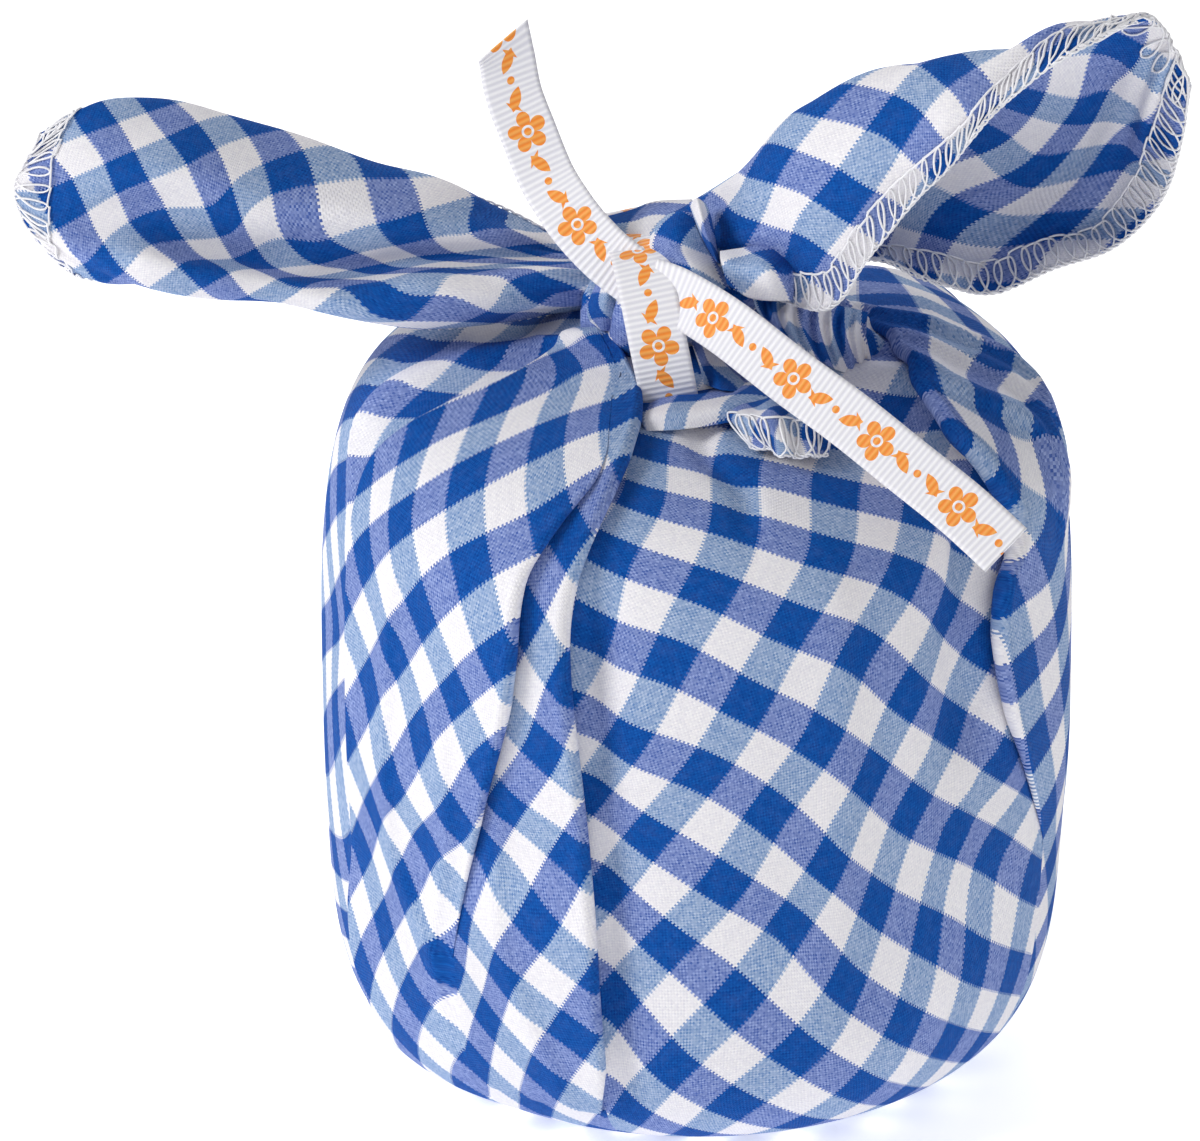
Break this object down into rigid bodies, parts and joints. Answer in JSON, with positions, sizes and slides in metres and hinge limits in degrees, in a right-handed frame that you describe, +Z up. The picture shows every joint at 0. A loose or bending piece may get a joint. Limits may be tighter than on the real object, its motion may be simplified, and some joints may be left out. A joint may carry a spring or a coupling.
{
  "type": "furoshiki wrap",
  "caption": "Gingham cotton wrapping cloth gathered round a squat drum and knotted on top into standing ears, with a narrow ribbon tied round the knot.",
  "frame": {"origin": "centre of the flat base, on the wrapped drum's axis", "axes": "+Z up, -Y towards the front, where the front corner is folded up, +X to the front's right, where the longer open ear points"},
  "size_m": [0.1923, 0.136, 0.1944],
  "materials": {
    "gingham_cotton": "blue and white woven check, soft and matte",
    "grosgrain_ribbon": "white ribbed ribbon with an orange print"
  },
  "bodies": {
    "root": {"furoshiki_cloth": "gingham_cotton", "tie_ribbon": "grosgrain_ribbon"}
  },
  "joints": []
}
